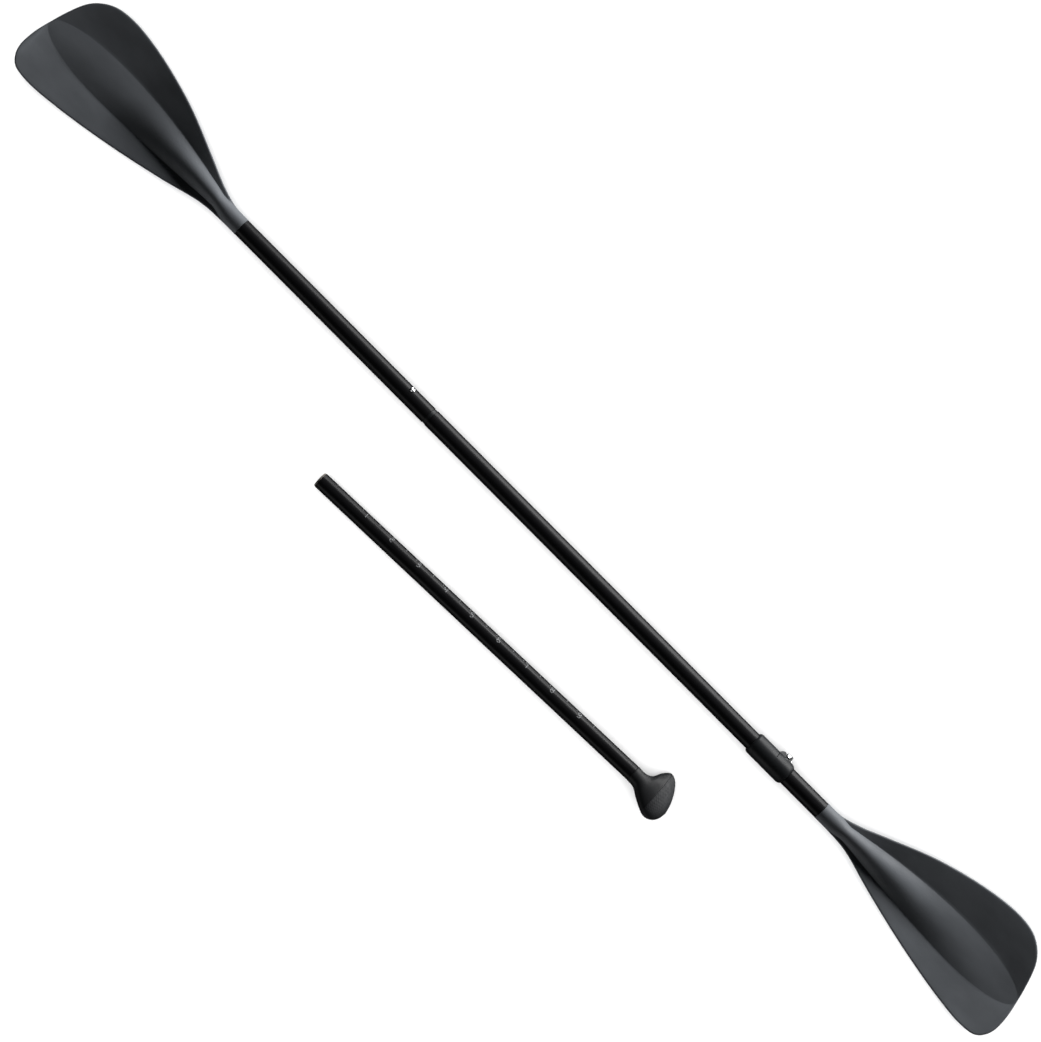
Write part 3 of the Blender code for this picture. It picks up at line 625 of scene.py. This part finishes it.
def dotted(row):
    """The depth below the dots' tops round one ring, row being a count of dot rows."""
    def depth(share):
        round_it = 0.5 + 0.5 * math.cos(2 * math.pi * (DOTS_ROUND * share + 0.5 * (math.floor(row) % 2)))
        along = 0.5 - 0.5 * math.cos(2 * math.pi * row)
        fade = 1 - smoothstep((row - 0.72 * DOT_ROWS) / (0.2 * DOT_ROWS))
        return DOT_HEIGHT * (1 - fade * round_it * along)
    return depth


def palm_grip():
    """The grip's moulded body and its rubber pad, finer than their CAD nodes and with the pad's dots."""
    turned = SECTION @ Matrix.Rotation(GRIP_ROLL, 4, "X")
    under_pad = PAD_THICKNESS + SEAT_GAP
    inner_end = GRIP_END - PAD_THICKNESS - 0.0006
    neck_steps = 60
    neck_start = GRIP_TUBE_END + SEAT_GAP
    neck = [neck_start + (PAD_START - 0.0004 - neck_start) * i / neck_steps for i in range(neck_steps + 1)]
    rings = [grip_ring(neck_start, 0.0004)] + [grip_ring(x, 0.0) for x in neck[1:]]
    rings.append(grip_ring(PAD_START, 0.0004))
    rings += [grip_ring(x, under_pad) for x in eased(PAD_START, inner_end, 12)[:-1]]
    bm = bmesh.new()
    loft(bm, rings)
    bm.transform(turned)
    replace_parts(piece("palm_grip_skin", bm, GRIP_PLASTIC, "grip_section", 50), "palm_grip")

    steps = DOT_ROWS * STEPS_PER_DOT
    stations = eased(PAD_START + SEAT_GAP, GRIP_END - 0.0002, steps)
    outer = [grip_ring(x, dotted(i / STEPS_PER_DOT)) for i, x in enumerate(stations)]
    lip = [grip_ring(PAD_START + SEAT_GAP, 0.0008)]
    inner = [grip_ring(x, PAD_THICKNESS) for x in eased(PAD_START + SEAT_GAP, inner_end + 0.0004, 10)[:-1]]
    bm = bmesh.new()
    loft(bm, inner[::-1] + lip + outer)
    bm.transform(turned)
    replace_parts(piece("palm_pad_skin", bm, RUBBER, "grip_section", 50), "palm_pad")


# ---------------------------------------------------------------- printed height scale

SCALE_PITCH = 0.0568
SCALE_FIRST = -0.2380
SCALE_AT = math.radians(43)
DIGIT_WIDTH = 0.0052
DIGIT_HEIGHT = 0.0092
STROKE = 0.0013
INK_THICKNESS = 0.00006
# The strokes of a stencilled digit, as (across, up) ends in its own box.
STROKES = {
    "a": ((0, 1), (1, 1)), "b": ((1, 1), (1, 0.5)), "c": ((1, 0.5), (1, 0)), "d": ((0, 0), (1, 0)),
    "e": ((0, 0.5), (0, 0)), "f": ((0, 1), (0, 0.5)), "g": ((0, 0.5), (1, 0.5)),
}
DIGITS = ["bc", "abged", "abgcd", "fgbc", "afgcd", "afgedc", "abc", "abcdefg", "abcdfg"]


def printed_bar(bm, start, end, width):
    """A bar of ink on the tube. start and end are (along the tube, round it) in metres."""
    start = Vector(start)
    end = Vector(end)
    side = (end - start).orthogonal().normalized() * width / 2
    steps = 8
    rings = []
    for i in range(steps + 1):
        spot = start.lerp(end, i / steps)
        ring = []
        for across, radius in ((-1, -0.5), (1, -0.5), (1, 1), (-1, 1)):
            x, arc = spot + side * across
            radius = GRIP_TUBE_RADIUS + INK_THICKNESS * radius
            angle = arc / GRIP_TUBE_RADIUS
            ring.append(Vector((x, radius * math.sin(angle), radius * math.cos(angle))))
        rings.append(ring)
    loft(bm, rings)


def height_scale():
    """Generic digits with ticks between them, printed along the section's tube."""
    bm = bmesh.new()
    centre = SCALE_AT * GRIP_TUBE_RADIUS
    base = centre - DIGIT_HEIGHT / 2
    for count, strokes in enumerate(DIGITS):
        left = SCALE_FIRST + count * SCALE_PITCH - DIGIT_WIDTH / 2
        for name in strokes:
            ends = [Vector((left + x * DIGIT_WIDTH, base + y * DIGIT_HEIGHT)) for x, y in STROKES[name]]
            trim = (ends[1] - ends[0]).normalized() * STROKE * 0.6
            printed_bar(bm, ends[0] + trim, ends[1] - trim, STROKE)
        edge = centre + DIGIT_HEIGHT * 0.62
        for offset, reach in ((-0.0072, 0.0026), (SCALE_PITCH / 2, 0.0034)):
            x = left + DIGIT_WIDTH / 2 + offset
            if x < GRIP_TUBE_END - 0.02:
                printed_bar(bm, (x, edge - reach), (x, edge), 0.0009)
    bm.transform(SECTION)
    piece("height_scale", bm, INK, "grip_section", 30)


# ---------------------------------------------------------------- setting

def target_at(obj, point):
    """Turns a light or camera so that it looks at a point."""
    direction = Vector(point) - obj.location
    obj.rotation_euler = direction.to_track_quat("-Z", "Y").to_euler()


def softbox(name, location, target, size, power):
    """A rectangular area light, in metres and watts, which the camera itself doesn't see."""
    data = bpy.data.lights.new(name, "AREA")
    data.shape = "RECTANGLE"
    data.size = size[0]
    data.size_y = size[1]
    data.energy = power
    made = bpy.data.objects.new(name, data)
    bpy.context.scene.collection.objects.link(made)
    made.visible_camera = False
    made.location = location
    target_at(made, target)
    return made


VIEW_TURN = math.radians(45.163)
VIEW_CENTRE = Vector((-0.0034, 0.0341, SHAFT.z))
VIEW_WIDTH = 1.6136
CAMERA_HEIGHT = 4.5
KEY_POWER = 285.0
LOW_KEY_POWER = 120.0
KICKER_POWER = 26.0
FLOOR_IRRADIANCE = 5.0
SKY_STRENGTH = 0.006
SOFTBOX_DISTANCE = 3.0
FLOOR_HALF_SIZE = 60.0
FLOOR_CLEARANCE = 0.0004


def camera():
    """A camera straight above the set, turned so that the shaft lies across the picture's diagonal."""
    data = bpy.data.cameras.new("camera")
    data.type = "PERSP"
    data.sensor_fit = "HORIZONTAL"
    data.sensor_width = 36.0
    data.lens = data.sensor_width * CAMERA_HEIGHT / VIEW_WIDTH
    data.clip_end = 50.0
    made = bpy.data.objects.new("camera", data)
    bpy.context.scene.collection.objects.link(made)
    made.location = VIEW_CENTRE + Vector((0, 0, CAMERA_HEIGHT))
    made.rotation_euler = (0, 0, VIEW_TURN)
    bpy.context.scene.camera = made


def floor():
    """A wide pale floor just under the set. It neither shades the low light nor shows as a reflection."""
    bm = bmesh.new()
    bmesh.ops.create_grid(bm, x_segments=8, y_segments=8, size=FLOOR_HALF_SIZE)
    mesh = bpy.data.meshes.new("floor")
    bm.to_mesh(mesh)
    bm.free()
    finish = Finish("pale_floor", (0.93, 0.93, 0.93), 0.75)
    finish.mixed_colour(finish.noise(0.40), (0.91, 0.91, 0.91))
    mesh.materials.append(finish.fixed(IOR=1.2).done())
    made = bpy.data.objects.new("floor", mesh)
    bpy.context.scene.collection.objects.link(made)
    made.location.z = -FLOOR_CLEARANCE
    made.visible_glossy = False
    made.visible_shadow = False
    made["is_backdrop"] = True
    return made


def lit_only(light, objects):
    """Lets a light shine on these objects alone, as flags do in a studio."""
    group = bpy.data.collections.new(light.name + "_shines_on")
    for obj in objects:
        group.objects.link(obj)
    light.light_linking.receiver_collection = group


def lights(ground):
    """Two softboxes past the wide edges, a weak one opposite, and an even light for the floor alone."""
    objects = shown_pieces()
    key = softbox("key", (0.8, SOFTBOX_DISTANCE, 0.72), (0.3, 0, 0), (3.6, 1.23), KEY_POWER)
    lit_only(key, objects)
    low = softbox("low_key", (0.8, SOFTBOX_DISTANCE, -0.55), (0.3, 0, 0), (3.6, 1.3), LOW_KEY_POWER)
    lit_only(low, objects)
    kicker = softbox("kicker", (0, -SOFTBOX_DISTANCE, 0.75), (0, 0, 0.1), (3.6, 1.4), KICKER_POWER)
    lit_only(kicker, objects)
    even = bpy.data.lights.new("floor_light", "SUN")
    even.energy = FLOOR_IRRADIANCE
    even.angle = math.radians(110)
    overhead = bpy.data.objects.new("floor_light", even)
    bpy.context.scene.collection.objects.link(overhead)
    lit_only(overhead, [ground])
    world = bpy.data.worlds.new("studio")
    bpy.context.scene.world = world
    world.use_nodes = True
    background = world.node_tree.nodes["Background"]
    background.inputs["Color"].default_value = (0.90, 0.95, 1.0, 1.0)
    background.inputs["Strength"].default_value = SKY_STRENGTH
    bpy.context.scene.view_settings.view_transform = "Standard"
    bpy.context.scene.view_settings.look = "None"


# ---------------------------------------------------------------- assembly

blade("blade_a", NECK_A, TIP_A, "main_shaft")
blade("blade_b", NECK_B, TIP_B, "blade_b_section")
palm_grip()
height_scale()
for node_name in NODE_FINISH:
    finish_node(node_name)
camera()
lights(floor())
